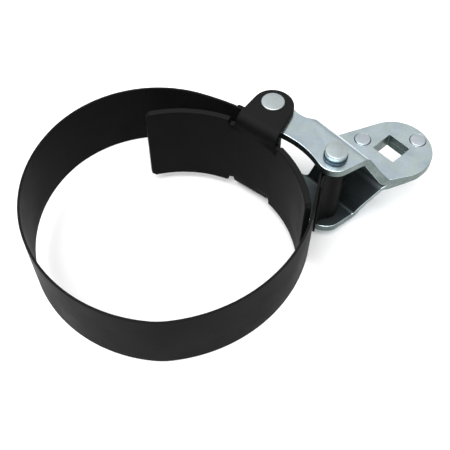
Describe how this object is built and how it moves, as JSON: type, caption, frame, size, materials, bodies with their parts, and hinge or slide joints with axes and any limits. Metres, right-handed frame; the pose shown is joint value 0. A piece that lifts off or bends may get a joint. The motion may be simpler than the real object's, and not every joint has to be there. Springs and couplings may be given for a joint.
{
  "type": "band oil filter wrench",
  "caption": "Heavy-duty steel band filter wrench: a spring-steel loop and a curved shoe drawn tight by a joggled double-plate lever with a half-inch square drive hole.",
  "frame": {"origin": "centre of the open band's loop, on the mid-plane halfway up the band", "axes": "+Z along the filter's axis, the side with the tall pin head; +X from the loop towards the square drive end, the tool's long direction; +Y across it, towards the pivot pin's side"},
  "size_m": [0.1975, 0.133, 0.055],
  "materials": {
    "black_paint": "satin black paint",
    "zinc_plate": "bright zinc plating, semi-matte",
    "zinc_rivet": "bright zinc plating, pressed flat",
    "zinc_pin": "zinc plating, slightly dull head",
    "blue_washer": "blue-tinted passivated zinc"
  },
  "bodies": {
    "shoe_body": {"shoe": "black_paint", "pivot_pin": "zinc_pin"},
    "lever_body": {"upper_lever_plate": "zinc_plate", "lower_lever_plate": "zinc_plate", "drive_rivets": "zinc_rivet", "pull_pin": "zinc_pin", "pull_pin_washer": "blue_washer"},
    "band_body": {"band": "black_paint"}
  },
  "joints": [
    {"name": "lever_swing", "type": "hinge", "parent": "shoe_body", "child": "lever_body", "pos_m": [0.0496, 0.0482, 0], "axis": [0, 0, 1], "range_deg": [0, 18]},
    {"name": "band_swing", "type": "hinge", "parent": "shoe_body", "child": "band_body", "pos_m": [0.0496, 0.0482, 0], "axis": [0, 0, 1], "range_deg": [0, 18]}
  ],
  "couplings": [
    {"joint": "band_swing", "follows": "lever_swing", "ratio": 1}
  ]
}
